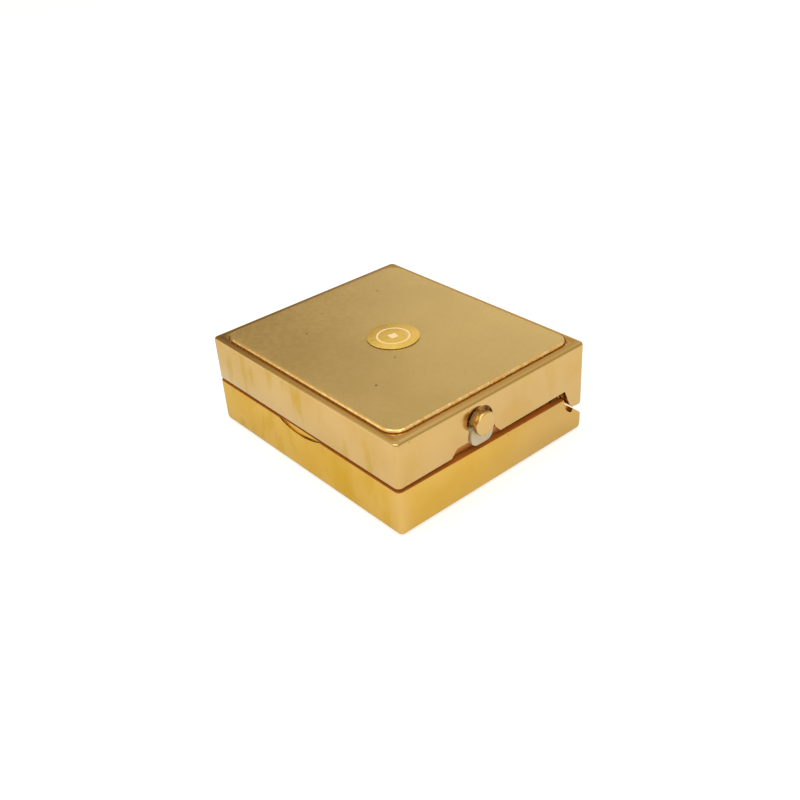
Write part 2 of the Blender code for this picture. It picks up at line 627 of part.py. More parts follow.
# ---- the catch ------------------------------------------------------------------------------------
def make_latch_bracket(mat):
    """An angle under the lid's roof that backs the spring and guides the slider's pin."""
    back = BRACKET_X + BRACKET_THICKNESS
    low = BACKPLATE_FOOT
    flange_foot = BRACKET_TOP - BRACKET_THICKNESS
    half = BRACKET_WIDTH / 2
    flange = [
        (BRACKET_X - BRACKET_FLANGE, BUTTON_Y - half),
        (back, BUTTON_Y - half),
        (back, BUTTON_Y + half),
        (BRACKET_X - BRACKET_FLANGE, BUTTON_Y + half),
    ]
    mesh = extruded("latch_bracket", flange, flange_foot, BRACKET_TOP)
    bracket = add_object("latch_bracket", mesh, mat)
    near, far = BUTTON_Y - BACKPLATE_HALF, BUTTON_Y + BACKPLATE_HALF
    plate = rounded_rectangle(near, far, low, flange_foot + BRACKET_THICKNESS / 2, SMALL_CORNER, 3)
    boolean(bracket, extruded("bracket_plate", plate, BRACKET_X, back - SLIVER, "X"), "UNION")
    radius = GUIDE_RADIUS + FINE_CLEARANCE
    centre = (BUTTON_Y, BUTTON_HEIGHT)
    boolean(bracket, cylinder("guide_hole", radius, BRACKET_X - EPS, back + EPS, "X", centre, 16))
    for y in BRACKET_SCREW_Y:
        boolean(bracket, bracket_screw_hole(y, flange_foot - EPS, BRACKET_TOP + EPS))
    return bracket


def make_bracket_screws(mat):
    seat_z = BRACKET_TOP - BRACKET_THICKNESS - FINE_CLEARANCE
    length = FINE_CLEARANCE + BRACKET_THICKNESS + CLEARANCE + SCREW_BITE
    for number, y in enumerate(BRACKET_SCREW_Y, 1):
        mesh = screw_mesh(f"bracket_screw_{number}", (BRACKET_SCREW_X, y, seat_z), (0, 0, -1), length)
        add_object(mesh.name, mesh, mat, smooth=True)


def make_latch_slider(mat, parent):
    """A plate behind the lid's wall with a boss for the button's stem, a guide pin and a hook."""
    y, z = BUTTON_Y, BUTTON_HEIGHT
    near, far = OPENING_Y - BACKPLATE_HALF, OPENING_Y + BACKPLATE_HALF
    top = BACKPLATE_FOOT + BACKPLATE_HEIGHT
    plate = rounded_rectangle(near, far, BACKPLATE_FOOT, top, BACKPLATE_CORNER, 3)
    mesh = extruded("latch_slider", plate, BACKPLATE_X, PLATE_FACE, "X")
    slider = add_object("latch_slider", mesh, mat, parent, smooth=True)
    boss_end = SIDE + TONGUE_RISE - FINE_CLEARANCE
    boolean(slider, cylinder("boss", BOSS_RADIUS, PLATE_FACE - EPS, boss_end, "X", (y, z), 24), "UNION")
    guide_end = BACKPLATE_X - GUIDE_LENGTH
    boolean(slider, cylinder("guide", GUIDE_RADIUS, guide_end, BACKPLATE_X + EPS, "X", (y, z), 16), "UNION")
    boolean(slider, extruded("hook", hook_outline(), y - HOOK_WIDTH / 2, y + HOOK_WIDTH / 2, "Y"), "UNION")
    bore = cylinder("stem_bore", STEM_RADIUS + FINE_CLEARANCE, PLATE_FACE, SIDE + EPS, "X", (y, z), 20)
    boolean(slider, bore)
    return slider


def make_latch_tongue(mat, parent):
    """The white guide in the lower part of the lid's opening, round the underside of the boss."""
    half = OPENING_RADIUS - TONGUE_GAP
    near, far = OPENING_Y - half, OPENING_Y + half
    neck_x = SIDE - WALL / 2
    outline = rounded_rectangle(near, far, TONGUE_FOOT, TONGUE_TOP, TONGUE_CORNER)
    mesh = extruded("latch_tongue", outline, neck_x, SIDE + TONGUE_RISE, "X")
    tongue = add_object("latch_tongue", mesh, mat, parent, smooth=True)
    neck_foot = BACKPLATE_FOOT + NECK_INSET
    neck = rounded_rectangle(near, far, neck_foot, TONGUE_TOP - NECK_INSET, SMALL_CORNER, 3)
    boolean(tongue, extruded("neck", neck, PLATE_FACE + FINE_CLEARANCE, neck_x + EPS / 2, "X"), "UNION")
    radius = BOSS_RADIUS + FINE_CLEARANCE
    centre = (BUTTON_Y, BUTTON_HEIGHT)
    boolean(tongue, cylinder("boss_seat", radius, PLATE_FACE - EPS, SIDE + EPS, "X", centre, 24))
    return tongue


def hook_outline():
    """The hook from the front: a bridge over the rim, an arm down inside it and a nose at its foot."""
    inner, outer = HOOK_X, HOOK_X + HOOK_THICKNESS
    nose = outer + HOOK_NOSE
    foot = STRIKE_FOOT - FINE_CLEARANCE - HOOK_NOSE_HEIGHT
    bridge_foot = BACKPLATE_FOOT + HOOK_BRIDGE_RISE
    bridge_top = bridge_foot + HOOK_THICKNESS
    end = BACKPLATE_X + BACKPLATE_THICKNESS / 2
    return [
        (inner, foot),
        (outer, foot),
        (nose, foot + HOOK_NOSE_HEIGHT * 0.6),
        (nose, foot + HOOK_NOSE_HEIGHT),
        (outer, foot + HOOK_NOSE_HEIGHT),
        (outer, bridge_foot),
        (end, bridge_foot),
        (end, bridge_top),
        (inner, bridge_top),
    ]


def make_button_cap(mat, parent):
    start = SIDE + TONGUE_RISE + FINE_CLEARANCE
    face = SIDE + BUTTON_RISE
    stem = SIDE - WALL
    profile = [
        (stem, 0.0),
        (stem, STEM_RADIUS),
        (start, STEM_RADIUS),
        (start, BUTTON_RADIUS),
        (face - BUTTON_EDGE, BUTTON_RADIUS),
        (face - BUTTON_EDGE * 0.3, BUTTON_RADIUS - BUTTON_EDGE * 0.3),
        (face, BUTTON_RADIUS - BUTTON_EDGE),
        (face, 0.0),
    ]
    mesh = turned("button_cap", profile, (0.0, BUTTON_Y, BUTTON_HEIGHT), (1, 0, 0), steps=32)
    return add_object("button_cap", mesh, mat, parent, smooth=True)


def make_latch_spring(mat, parent):
    """A coil round the slider's guide pin, between the bracket and the slider."""
    start = BRACKET_X + BRACKET_THICKNESS + FINE_CLEARANCE + SPRING_WIRE
    end = BACKPLATE_X - FINE_CLEARANCE - SPRING_WIRE
    steps, sides = 14 * SPRING_TURNS, 6
    bm = bmesh.new()
    rings = []
    for i in range(steps + 1):
        turn = tau * SPRING_TURNS * i / steps
        along = start + (end - start) * i / steps
        out = Vector((0.0, cos(turn), sin(turn)))
        centre = Vector((along, BUTTON_Y, BUTTON_HEIGHT)) + out * SPRING_RADIUS
        ring = []
        for k in range(sides):
            angle = tau * k / sides
            offset = out * cos(angle) + Vector((1.0, 0.0, 0.0)) * sin(angle)
            ring.append(bm.verts.new(centre + offset * SPRING_WIRE))
        rings.append(ring)
    for below, above in zip(rings, rings[1:]):
        for k in range(sides):
            j = (k + 1) % sides
            bm.faces.new((below[k], below[j], above[j], above[k]))
    bm.faces.new(rings[0])
    bm.faces.new(rings[-1])
    bmesh.ops.recalc_face_normals(bm, faces=bm.faces)
    mesh = bpy.data.meshes.new("latch_spring")
    bm.to_mesh(mesh)
    bm.free()
    return add_object("latch_spring", mesh, mat, parent, smooth=True)


def joint_empty(name, place):
    empty = bpy.data.objects.new(name, None)
    empty.location = place
    bpy.context.scene.collection.objects.link(empty)
    return empty


def put_on_hinge(hinge, catch, names):
    """Parent the lid's pieces, and the catch that rides in it, to the hinge axis."""
    for name in names:
        obj = bpy.data.objects[name]
        obj.parent = hinge
        obj.matrix_parent_inverse = Matrix.Translation(-hinge.location)
    catch.parent = hinge
    catch.matrix_parent_inverse = Matrix.Translation(-hinge.location)


def build():
    clear_scene()
    gold = material("polished_gold", (0.86, 0.62, 0.25), 0.14, 1.0)
    satin = material("satin_gold", (0.62, 0.52, 0.30), 0.42, 1.0)
    foil = material("gold_foil", (0.80, 0.63, 0.24), 0.3, 1.0)
    steel = material("steel", (0.62, 0.62, 0.63), 0.3, 1.0)
    nylon = material("white_nylon", (0.86, 0.83, 0.80), 0.4, 0.0, 0.95)
    plastic = material("white_plastic", (0.88, 0.87, 0.84), 0.35, 0.0)
    foam = material("pad_foam", (0.12, 0.12, 0.12), 0.9, 0.0)
    mirror = material("mirror_glass", (0.92, 0.93, 0.93), 0.02, 1.0)

    hinge = joint_empty("hinge_axis", (0.0, PIVOT_Y, PIVOT_Z))
    catch = joint_empty("catch_axis", (SIDE, BUTTON_Y, BUTTON_HEIGHT))

    make_base_shell(gold)
    make_base_rim(gold.copy())
    make_hinge_barrel(gold.copy())
    make_hinge_pin(steel)
    make_hinge_screws(steel.copy())
    make_strike_plate(steel.copy())
    make_strike_rivets(steel.copy())
    make_pill_tray(plastic)
    make_dividers(plastic.copy())

    make_lid_shell(gold.copy())
    make_lid_plate(satin)
    make_round_label(foil)
    make_mirror(foam, mirror, gold.copy())
    make_latch_bracket(steel.copy())
    make_bracket_screws(steel.copy())

    make_latch_slider(gold.copy(), catch)
    make_latch_tongue(nylon, catch)
    make_button_cap(gold.copy(), catch)
    make_latch_spring(steel.copy(), catch)

    lid_pieces = ["lid_shell", "lid_plate", "round_label", "mirror_pad", "mirror_glass", "mirror_frame"]
    put_on_hinge(hinge, catch, lid_pieces + ["latch_bracket", "bracket_screw_1", "bracket_screw_2"])


build()
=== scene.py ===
"""Looks for the gold pill box: finer edges and pieces over the frame, materials, light and camera."""

import json
from math import cos, pi, radians, sin, tau

import bmesh
import bpy
from mathutils import Matrix, Vector

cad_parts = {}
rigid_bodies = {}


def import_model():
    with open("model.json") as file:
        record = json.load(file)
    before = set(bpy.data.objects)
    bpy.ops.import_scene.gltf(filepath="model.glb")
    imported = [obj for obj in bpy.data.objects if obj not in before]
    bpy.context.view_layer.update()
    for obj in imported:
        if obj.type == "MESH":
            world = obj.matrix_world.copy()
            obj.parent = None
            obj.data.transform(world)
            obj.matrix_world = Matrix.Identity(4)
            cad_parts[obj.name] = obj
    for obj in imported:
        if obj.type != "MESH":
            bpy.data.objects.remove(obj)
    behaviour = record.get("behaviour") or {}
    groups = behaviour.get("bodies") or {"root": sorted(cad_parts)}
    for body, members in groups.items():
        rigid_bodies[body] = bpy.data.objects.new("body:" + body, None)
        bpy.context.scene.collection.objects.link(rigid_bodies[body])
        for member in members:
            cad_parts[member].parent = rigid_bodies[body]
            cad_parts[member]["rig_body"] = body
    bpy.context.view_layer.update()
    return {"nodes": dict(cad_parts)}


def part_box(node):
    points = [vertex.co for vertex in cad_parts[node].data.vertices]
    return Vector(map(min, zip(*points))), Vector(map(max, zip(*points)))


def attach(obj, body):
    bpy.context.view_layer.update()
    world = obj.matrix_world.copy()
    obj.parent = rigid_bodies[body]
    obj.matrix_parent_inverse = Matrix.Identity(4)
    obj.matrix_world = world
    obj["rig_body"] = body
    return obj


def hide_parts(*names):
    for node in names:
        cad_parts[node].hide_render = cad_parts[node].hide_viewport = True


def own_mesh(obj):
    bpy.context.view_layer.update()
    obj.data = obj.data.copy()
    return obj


MM = 0.001

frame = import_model()
NODES = frame["nodes"]


# ---- camera, light and floor ----------------------------------------------------------------------
CAMERA_AZIMUTH = radians(50.7)
CAMERA_ELEVATION = radians(31.92)
CAMERA_ROLL = radians(-4.0)
CAMERA_DISTANCE = 174.2 * MM
CAMERA_LENS = 43.65  # in millimetres, as the sensor's width is
CAMERA_SENSOR = 36.0
AIM_HEIGHT = 8.7 * MM
AIM_RIGHT = 0.63 * MM
AIM_UP = -3.25 * MM

WALL_DIM = (0.36, 0.27, 0.15)
WALL_WARM = (0.84, 0.715, 0.51)
CEILING = (1.0, 0.97, 0.90)
LIGHTS = (  # name, place in metres, width and height in metres, watts
    ("overhead", (0.05, -0.10, 0.55), (0.5, 0.5), 1.2),
    ("front_left", (-0.35, -0.45, 0.30), (0.35, 0.3), 0.40),
    ("front_right", (0.50, -0.20, 0.28), (0.3, 0.3), 0.55),
)
FLOOR_HALF = 1.5
FLOOR_GREY = (0.50, 0.50, 0.50)
FLOOR_GLOW = 0.62


def add_camera():
    az, el = CAMERA_AZIMUTH, CAMERA_ELEVATION
    back = Vector((sin(az) * cos(el), -cos(az) * cos(el), sin(el)))
    level_right = Vector((cos(az), sin(az), 0.0))
    level_up = back.cross(level_right)
    right = cos(CAMERA_ROLL) * level_right + sin(CAMERA_ROLL) * level_up
    up = cos(CAMERA_ROLL) * level_up - sin(CAMERA_ROLL) * level_right
    target = Vector((0.0, 0.0, AIM_HEIGHT)) + AIM_RIGHT * right + AIM_UP * up
    data = bpy.data.cameras.new("camera")
    data.lens = CAMERA_LENS
    data.sensor_width = CAMERA_SENSOR
    data.clip_start = 1.0 * MM
    camera = bpy.data.objects.new("camera", data)
    bpy.context.scene.collection.objects.link(camera)
    turn = Matrix((right, up, back)).transposed()
    camera.matrix_world = Matrix.Translation(target + back * CAMERA_DISTANCE) @ turn.to_4x4()
    bpy.context.scene.camera = camera


def add_area_light(name, place, size, power):
    data = bpy.data.lights.new(name, "AREA")
    data.shape = "RECTANGLE"
    data.size, data.size_y = size
    data.energy = power
    light = bpy.data.objects.new(name, data)
    light.location = place
    light.rotation_euler = (-Vector(place)).to_track_quat("-Z", "Y").to_euler()
    bpy.context.scene.collection.objects.link(light)


def studio_walls(world):
    """A warm room: dimmest low down on the left, and pale overhead."""
    tree = world.node_tree
    background = tree.nodes["Background"]
    coords = tree.nodes.new("ShaderNodeTexCoord")
    split = tree.nodes.new("ShaderNodeSeparateXYZ")
    tree.links.new(coords.outputs["Generated"], split.inputs["Vector"])

    def step(value, low, high):
        node = tree.nodes.new("ShaderNodeMapRange")
        node.interpolation_type = "SMOOTHSTEP"
        node.inputs["From Min"].default_value = low
        node.inputs["From Max"].default_value = high
        tree.links.new(value, node.inputs["Value"])
        return node.outputs["Result"]

    def blend(factor, first, second):
        node = tree.nodes.new("ShaderNodeMix")
        node.data_type = "RGBA"
        tree.links.new(factor, node.inputs["Factor"])
        for socket, value in ((node.inputs["A"], first), (node.inputs["B"], second)):
            if isinstance(value, tuple):
                socket.default_value = (*value, 1.0)
            else:
                tree.links.new(value, socket)
        return node.outputs["Result"]

    walls = blend(step(split.outputs["X"], -0.86, -0.66), WALL_DIM, WALL_WARM)
    colour = blend(step(split.outputs["Z"], 0.66, 0.92), walls, CEILING)
    tree.links.new(colour, background.inputs["Color"])


def add_studio():
    scene = bpy.context.scene
    scene.view_settings.view_transform = "Standard"
    world = bpy.data.worlds.new("studio")
    world.use_nodes = True
    studio_walls(world)
    scene.world = world
    for light in LIGHTS:
        add_area_light(*light)
    bm = bmesh.new()
    bmesh.ops.create_grid(bm, x_segments=1, y_segments=1, size=FLOOR_HALF)
    mesh = bpy.data.meshes.new("floor")
    bm.to_mesh(mesh)
    bm.free()
    floor = bpy.data.objects.new("floor", mesh)
    scene.collection.objects.link(floor)
    white = Nodes("floor_white")
    white.set(Base_Color=FLOOR_GREY, Roughness=0.6)
    white.set(Emission_Color=(1.0, 1.0, 1.0), Emission_Strength=FLOOR_GLOW)
    mesh.materials.append(white.material)


# ---- material building blocks -----------------------------------------------------------------------
class Nodes:
    """A new material with its shader, and short ways to add and link nodes."""

    def __init__(self, name):
        self.material = bpy.data.materials.new(name)
        self.material.use_nodes = True
        self.tree = self.material.node_tree
        self.shader = self.tree.nodes["Principled BSDF"]
        self.coords = None

    def node(self, kind, **settings):
        node = self.tree.nodes.new(kind)
        for key, value in settings.items():
            setattr(node, key, value)
        return node

    def link(self, source, target):
        self.tree.links.new(source, target)

    def place(self, scale=(1.0, 1.0, 1.0)):
        """Object coordinates, stretched."""
        if self.coords is None:
            self.coords = self.node("ShaderNodeTexCoord")
        mapping = self.node("ShaderNodeMapping")
        mapping.inputs["Scale"].default_value = scale
        self.link(self.coords.outputs["Object"], mapping.inputs["Vector"])
        return mapping.outputs["Vector"]

    def noise(self, scale, detail=3.0, stretch=(1.0, 1.0, 1.0), roughness=0.5):
        noise = self.node("ShaderNodeTexNoise")
        noise.inputs["Scale"].default_value = scale
        noise.inputs["Detail"].default_value = detail
        noise.inputs["Roughness"].default_value = roughness
        self.link(self.place(stretch), noise.inputs["Vector"])
        return noise.outputs["Fac"]

    def specks(self, scale, size, soft):
        """1 in small round spots spread at random, one to a cell, and 0 elsewhere."""
        cells = self.node("ShaderNodeTexVoronoi")
        cells.inputs["Scale"].default_value = scale
        self.link(self.place(), cells.inputs["Vector"])
        return self.range(cells.outputs["Distance"], size, size + soft, 1.0, 0.0)

    def range(self, value, low, high, to_low=0.0, to_high=1.0):
        node = self.node("ShaderNodeMapRange", interpolation_type="SMOOTHSTEP")
        node.inputs["From Min"].default_value = low
        node.inputs["From Max"].default_value = high
        node.inputs["To Min"].default_value = to_low
        node.inputs["To Max"].default_value = to_high
        self.link(value, node.inputs["Value"])
        return node.outputs["Result"]

    def maths(self, operation, first, second):
        node = self.node("ShaderNodeMath", operation=operation)
        for socket, value in zip(node.inputs, (first, second)):
            if isinstance(value, (int, float)):
                socket.default_value = value
            else:
                self.link(value, socket)
        return node.outputs["Value"]

    def mix(self, factor, first, second, blend="MIX"):
        node = self.node("ShaderNodeMix", data_type="RGBA", blend_type=blend)
        if isinstance(factor, (int, float)):
            node.inputs["Factor"].default_value = factor
        else:
            self.link(factor, node.inputs["Factor"])
        for socket, value in ((node.inputs["A"], first), (node.inputs["B"], second)):
            if isinstance(value, tuple):
                socket.default_value = (*value, 1.0)
            else:
                self.link(value, socket)
        return node.outputs["Result"]

    def lines(self, value, scale):
        """Noise that changes with one value only, so it draws lines where that value is level."""
        noise = self.node("ShaderNodeTexNoise", noise_dimensions="1D")
        noise.inputs["Scale"].default_value = scale
        noise.inputs["Detail"].default_value = 2.0
        self.link(value, noise.inputs["W"])
        return noise.outputs["Fac"]

    def within(self, value, limit):
        """1 where the value lies between -limit and limit."""
        return self.range(self.maths("ABSOLUTE", value, 0.0), limit, limit + 0.03 * MM, 1.0, 0.0)

    def split(self):
        """The place at rest, in metres, as X, Y and Z."""
        split = self.node("ShaderNodeSeparateXYZ")
        self.link(self.place(), split.inputs["Vector"])
        return split.outputs["X"], split.outputs["Y"], split.outputs["Z"]

    def bump(self, height, distance, strength=1.0, under=None):
        node = self.node("ShaderNodeBump")
        node.inputs["Distance"].default_value = distance
        node.inputs["Strength"].default_value = strength
        self.link(height, node.inputs["Height"])
        if under:
            self.link(under, node.inputs["Normal"])
        return node.outputs["Normal"]

    def set(self, **values):
        """Plain values for the shader's own sockets, by name with underscores for spaces."""
        for key, value in values.items():
            socket = self.shader.inputs[key.replace("_", " ")]
            socket.default_value = (*value, 1.0) if isinstance(value, tuple) else value

    def use(self, **sources):
        for key, source in sources.items():
            self.link(source, self.shader.inputs[key.replace("_", " ")])


# ---- materials --------------------------------------------------------------------------------------
HALF_LENGTH = 25.0 * MM
HALF_WIDTH = 21.5 * MM
LID_TOP = 17.30 * MM  # where the frame's browner colour starts, just under its top
RECESS_FLOOR = 16.80 * MM  # of the recess that the plate sits in
RECESS_HALF_X = 23.62 * MM
RECESS_HALF_Y = 20.62 * MM
EDGE_FALL = 0.68 * MM  # of the base's top edge, from its front to its back
EDGE_RUN = 44.0 * MM
BASE_EDGE_SLOPE = EDGE_FALL / EDGE_RUN
BASE_EDGE_HEIGHT = 8.6 * MM - EDGE_FALL / 2  # of that edge at the middle of the box
LID_PALE, LID_DEEP = (0.580, 0.390, 0.155), (0.545, 0.350, 0.115)
LID_TARNISH = (0.49, 0.305, 0.025)
BASE_PALE, BASE_DEEP = (0.600, 0.385, 0.095), (0.575, 0.350, 0.058)
BASE_TARNISH = (0.52, 0.31, 0.02)


def gold_walls(m, pale, deep, tarnish, amount):
    """Colour, roughness and normal of plated gold.

    It has cloudy colour, fine scratches, a slightly wavy face and a few small pits. Wiped smears run
    down the walls, strongest on the front.
    """
    _, along, _ = m.split()
    clouds = m.range(m.noise(90.0, 3.0), 0.35, 0.68)
    colour = m.mix(clouds, pale, deep)
    front = m.range(along, -21.3 * MM, -20.6 * MM, 1.0, 0.25)
    smears = m.range(m.noise(290.0, 4.0, (1.0, 1.0, 0.38)), 0.50, 0.70, 0.0, amount)
    smears = m.maths("MULTIPLY", smears, front)
    colour = m.mix(smears, colour, tarnish)
    pits = m.specks(230.0, 0.035, 0.03)
    sparse = m.range(m.noise(150.0, 1.0), 0.57, 0.62)
    pits = m.maths("MULTIPLY", pits, sparse)
    colour = m.mix(m.maths("MULTIPLY", pits, 0.5), colour, (0.22, 0.14, 0.04))
    scratches = m.range(m.noise(1500.0, 2.0, (0.12, 0.12, 1.0)), 0.4, 0.75, 0.0, 0.05)
    roughness = m.maths("ADD", m.range(smears, 0.0, 0.5, 0.13, 0.22), scratches)
    wave = m.bump(m.noise(110.0, 2.0), 0.05 * MM, 0.5)
    wave = m.bump(m.noise(2600.0, 3.0), 0.004 * MM, 0.35, wave)
    return colour, roughness, wave


def polished_gold(name, pale, deep, tarnish, amount):
    m = Nodes(name)
    colour, roughness, wave = gold_walls(m, pale, deep, tarnish, amount)
    m.set(Metallic=1.0)
    m.use(Base_Color=colour, Roughness=roughness, Normal=wave)
    return m.material


def lid_gold_finish():
    """The lid's gold, browner on the frame round the plate, with painted shade on the frame's front strip
    and painted light on its right strip; rough, with red-brown painted shade, in the groove; a painted dark
    reflection along the right upper edge and a painted highlight along the front upper edge.
    """
    m = Nodes("lid_gold")
    across, along, up = m.split()
    colour, roughness, wave = gold_walls(m, LID_PALE, LID_DEEP, LID_TARNISH, 0.85)
    m.set(Specular_Tint=(0.80, 0.85, 0.85))
    frame_top = m.range(up, LID_TOP, LID_TOP + 0.08 * MM)
    from_side = m.maths("SUBTRACT", HALF_LENGTH, m.maths("ABSOLUTE", across, 0.0))
    from_end = m.maths("SUBTRACT", HALF_WIDTH, m.maths("ABSOLUTE", along, 0.0))
    lines = m.lines(m.maths("MINIMUM", from_side, from_end), 2600.0)
    frame_brown_and_painted_light = m.mix(m.range(lines, 0.36, 0.62), (0.44, 0.245, 0.06), (0.60, 0.41, 0.16))
    # painted shade: the frame's front strip is darkened
    frame_brown_and_painted_light = m.mix(m.range(along, -20.6 * MM, -19.8 * MM, 0.35, 0.0), frame_brown_and_painted_light, (0.38, 0.225, 0.045))
    # painted light: the frame's right strip is made paler
    frame_brown_and_painted_light = m.mix(m.range(across, 23.2 * MM, 23.8 * MM, 0.0, 0.35), frame_brown_and_painted_light, (0.66, 0.46, 0.19))
    colour = m.mix(frame_top, colour, frame_brown_and_painted_light)
    inside = m.maths("MULTIPLY", m.within(across, RECESS_HALF_X), m.within(along, RECESS_HALF_Y))
    groove = m.maths("MULTIPLY", inside, m.range(up, RECESS_FLOOR, RECESS_FLOOR + 0.06 * MM))
    groove = m.maths("MULTIPLY", groove, m.range(up, LID_TOP - 0.04 * MM, LID_TOP + 0.04 * MM, 1.0, 0.0))
    # painted shade: a red-brown that stands in for gold in the groove's shade
    colour = m.mix(groove, colour, (0.55, 0.26, 0.045))
    upper_edge = m.range(up, 16.98 * MM, 17.06 * MM)
    # painted reflection: a dark line along the right upper edge
    painted_dark_reflection_right = m.maths("MULTIPLY", upper_edge, m.range(across, 24.68 * MM, 24.76 * MM, 0.0, 0.45))
    colour = m.mix(painted_dark_reflection_right, colour, (0.27, 0.21, 0.06))
    # painted highlight: a pale line along the front upper edge
    painted_highlight_front = m.maths("MULTIPLY", upper_edge, m.range(along, -21.28 * MM, -21.20 * MM, 0.15, 0.0))
    colour = m.mix(painted_highlight_front, colour, (0.78, 0.64, 0.36))
    m.use(
        Base_Color=colour,
        Roughness=m.maths("ADD", roughness, m.maths("MULTIPLY", groove, 0.3)),
        Metallic=m.maths("SUBTRACT", 1.0, m.maths("MULTIPLY", groove, 0.75)),
        Normal=wave,
    )
    return m.material


def base_gold_finish():
    """The base's gold: paler towards the back, darker at the foot as painted contact shade, paler near the
    front-right corner as a painted sheen, and a red-brown band of painted shade along its top edge at the
    seam.
    """
    m = Nodes("base_gold")
    across, along, up = m.split()
    colour, roughness, wave = gold_walls(m, BASE_PALE, BASE_DEEP, BASE_TARNISH, 0.65)
    m.set(Specular_Tint=(0.78, 0.72, 0.55))
    colour = m.mix(m.range(along, -8.0 * MM, 16.0 * MM, 0.0, 0.8), colour, (0.52, 0.34, 0.125))
    # painted contact shade: darker over the lowest 0.6 mm, at the foot
    colour = m.mix(m.range(up, 0.15 * MM, 0.6 * MM, 0.4, 0.0), colour, (0.36, 0.25, 0.07))
    # painted sheen: paler towards the front-right vertical corner
    corner = m.maths("SUBTRACT", across, along)
    colour = m.mix(m.range(corner, 43.0 * MM, 46.0 * MM, 0.0, 0.6), colour, (0.62, 0.42, 0.15))
    # painted shade: a red-brown band along the base's top edge, where the seam is in shade
    line = m.maths("ADD", up, m.maths("MULTIPLY", along, BASE_EDGE_SLOPE))
    seam_shade_band = m.range(line, BASE_EDGE_HEIGHT - 0.11 * MM, BASE_EDGE_HEIGHT - 0.03 * MM)
    colour = m.mix(seam_shade_band, colour, (0.46, 0.16, 0.022))
    m.use(
        Base_Color=colour,
        Roughness=m.maths("ADD", roughness, m.maths("MULTIPLY", seam_shade_band, 0.3)),
        Metallic=m.maths("SUBTRACT", 1.0, m.maths("MULTIPLY", seam_shade_band, 0.75)),
        Normal=wave,
    )
    return m.material


def inner_satin():
    """The slider behind the opening: a dull brown-gold plate."""
    m = Nodes("slider_gold")
    grain = m.noise(1400.0, 3.0)
    m.set(Metallic=0.45)
    m.use(
        Base_Color=m.mix(m.range(grain, 0.3, 0.7), (0.72, 0.42, 0.12), (0.82, 0.52, 0.18)),
        Roughness=m.range(grain, 0.3, 0.7, 0.38, 0.5),
        Normal=m.bump(grain, 0.01 * MM, 0.5),
    )
    return m.material


def seam_rim_shade():
    """The rim inside the base: gold coloured red-brown as painted shade of the seam it sits in, with a dull,
    streaky face.
    """
    m = Nodes("seam_rim_shade")
    streaks = m.noise(900.0, 3.0, (0.15, 0.15, 1.0))
    m.set(Metallic=0.45)
    m.use(
        # painted shade: these red-browns stand in for gold seen in the seam's shade
        Base_Color=m.mix(m.range(streaks, 0.35, 0.65), (0.60, 0.25, 0.07), (0.70, 0.32, 0.10)),
        Roughness=m.range(streaks, 0.3, 0.7, 0.38, 0.52),
        Normal=m.bump(streaks, 0.01 * MM, 0.5),
    )
    return m.material


def satin_gold():
    """The lid plate's blasted face: a fine even grain with faint wear and a few dark specks, and painted
    shading that makes it darker at the front and lighter at the back.
    """
    m = Nodes("satin_plate")
    clouds = m.range(m.noise(55.0, 2.0), 0.3, 0.7)
    _, along, _ = m.split()
    # painted shading: the plate's colour runs from darker at the front to lighter at the back
    front = m.mix(clouds, (0.54, 0.40, 0.165), (0.60, 0.45, 0.195))
    back = m.mix(clouds, (0.70, 0.55, 0.26), (0.77, 0.61, 0.29))
    colour = m.mix(m.range(along, -19.0 * MM, 19.0 * MM), front, back)
    grain = m.noise(5200.0, 4.0, roughness=0.65)
    colour = m.mix(m.range(grain, 0.3, 0.7, 0.0, 0.34), colour, (0.44, 0.32, 0.13))
    specks = m.specks(260.0, 0.05, 0.03)
    specks = m.maths("MULTIPLY", specks, m.range(m.noise(140.0, 1.0), 0.58, 0.62))
    colour = m.mix(m.maths("MULTIPLY", specks, 0.75), colour, (0.10, 0.07, 0.03))
    m.set(Metallic=1.0)
    m.use(
        Base_Color=colour,
        Roughness=m.range(m.noise(900.0, 3.0), 0.3, 0.7, 0.36, 0.46),
        Normal=m.bump(grain, 0.016 * MM, 0.9),
    )
    return m.material


def cut_edge():
    """The plate's polished edge: smooth on the front, and worn into small bright facets on the right."""
    m = Nodes("plate_edge")
    across, _, _ = m.split()
    glints = m.noise(900.0, 2.0)
    facets = m.maths("MULTIPLY", m.noise(1100.0, 1.0), m.range(across, 22.3 * MM, 22.9 * MM))
    m.set(Metallic=1.0)
    m.use(
        Roughness=m.range(glints, 0.35, 0.65, 0.30, 0.38),
        Base_Color=m.mix(m.range(glints, 0.4, 0.6), (0.80, 0.58, 0.26), (0.72, 0.46, 0.15)),
        Normal=m.bump(facets, 0.22 * MM, 0.9),
    )
    return m.material


def label_foil():
    """Printed gold foil: yellower than the plate, very slightly crinkled."""
    m = Nodes("label_foil")
    clouds = m.range(m.noise(420.0, 3.0), 0.35, 0.65)
    m.set(Metallic=1.0)
    m.use(
        Base_Color=m.mix(clouds, (0.82, 0.60, 0.15), (0.90, 0.66, 0.19)),
        Roughness=m.range(m.noise(1600.0, 2.0), 0.3, 0.7, 0.30, 0.42),
        Normal=m.bump(m.noise(700.0, 3.0), 0.03 * MM, 0.5),
    )
    return m.material


def label_ink():
    m = Nodes("label_ink")
    worn = m.range(m.noise(2500.0, 3.0), 0.3, 0.7)
    m.set(Roughness=0.45)
    m.use(
        Base_Color=m.mix(worn, (0.74, 0.55, 0.33), (0.82, 0.65, 0.44)),
        Normal=m.bump(worn, 0.01 * MM, 0.4),
    )
    return m.material


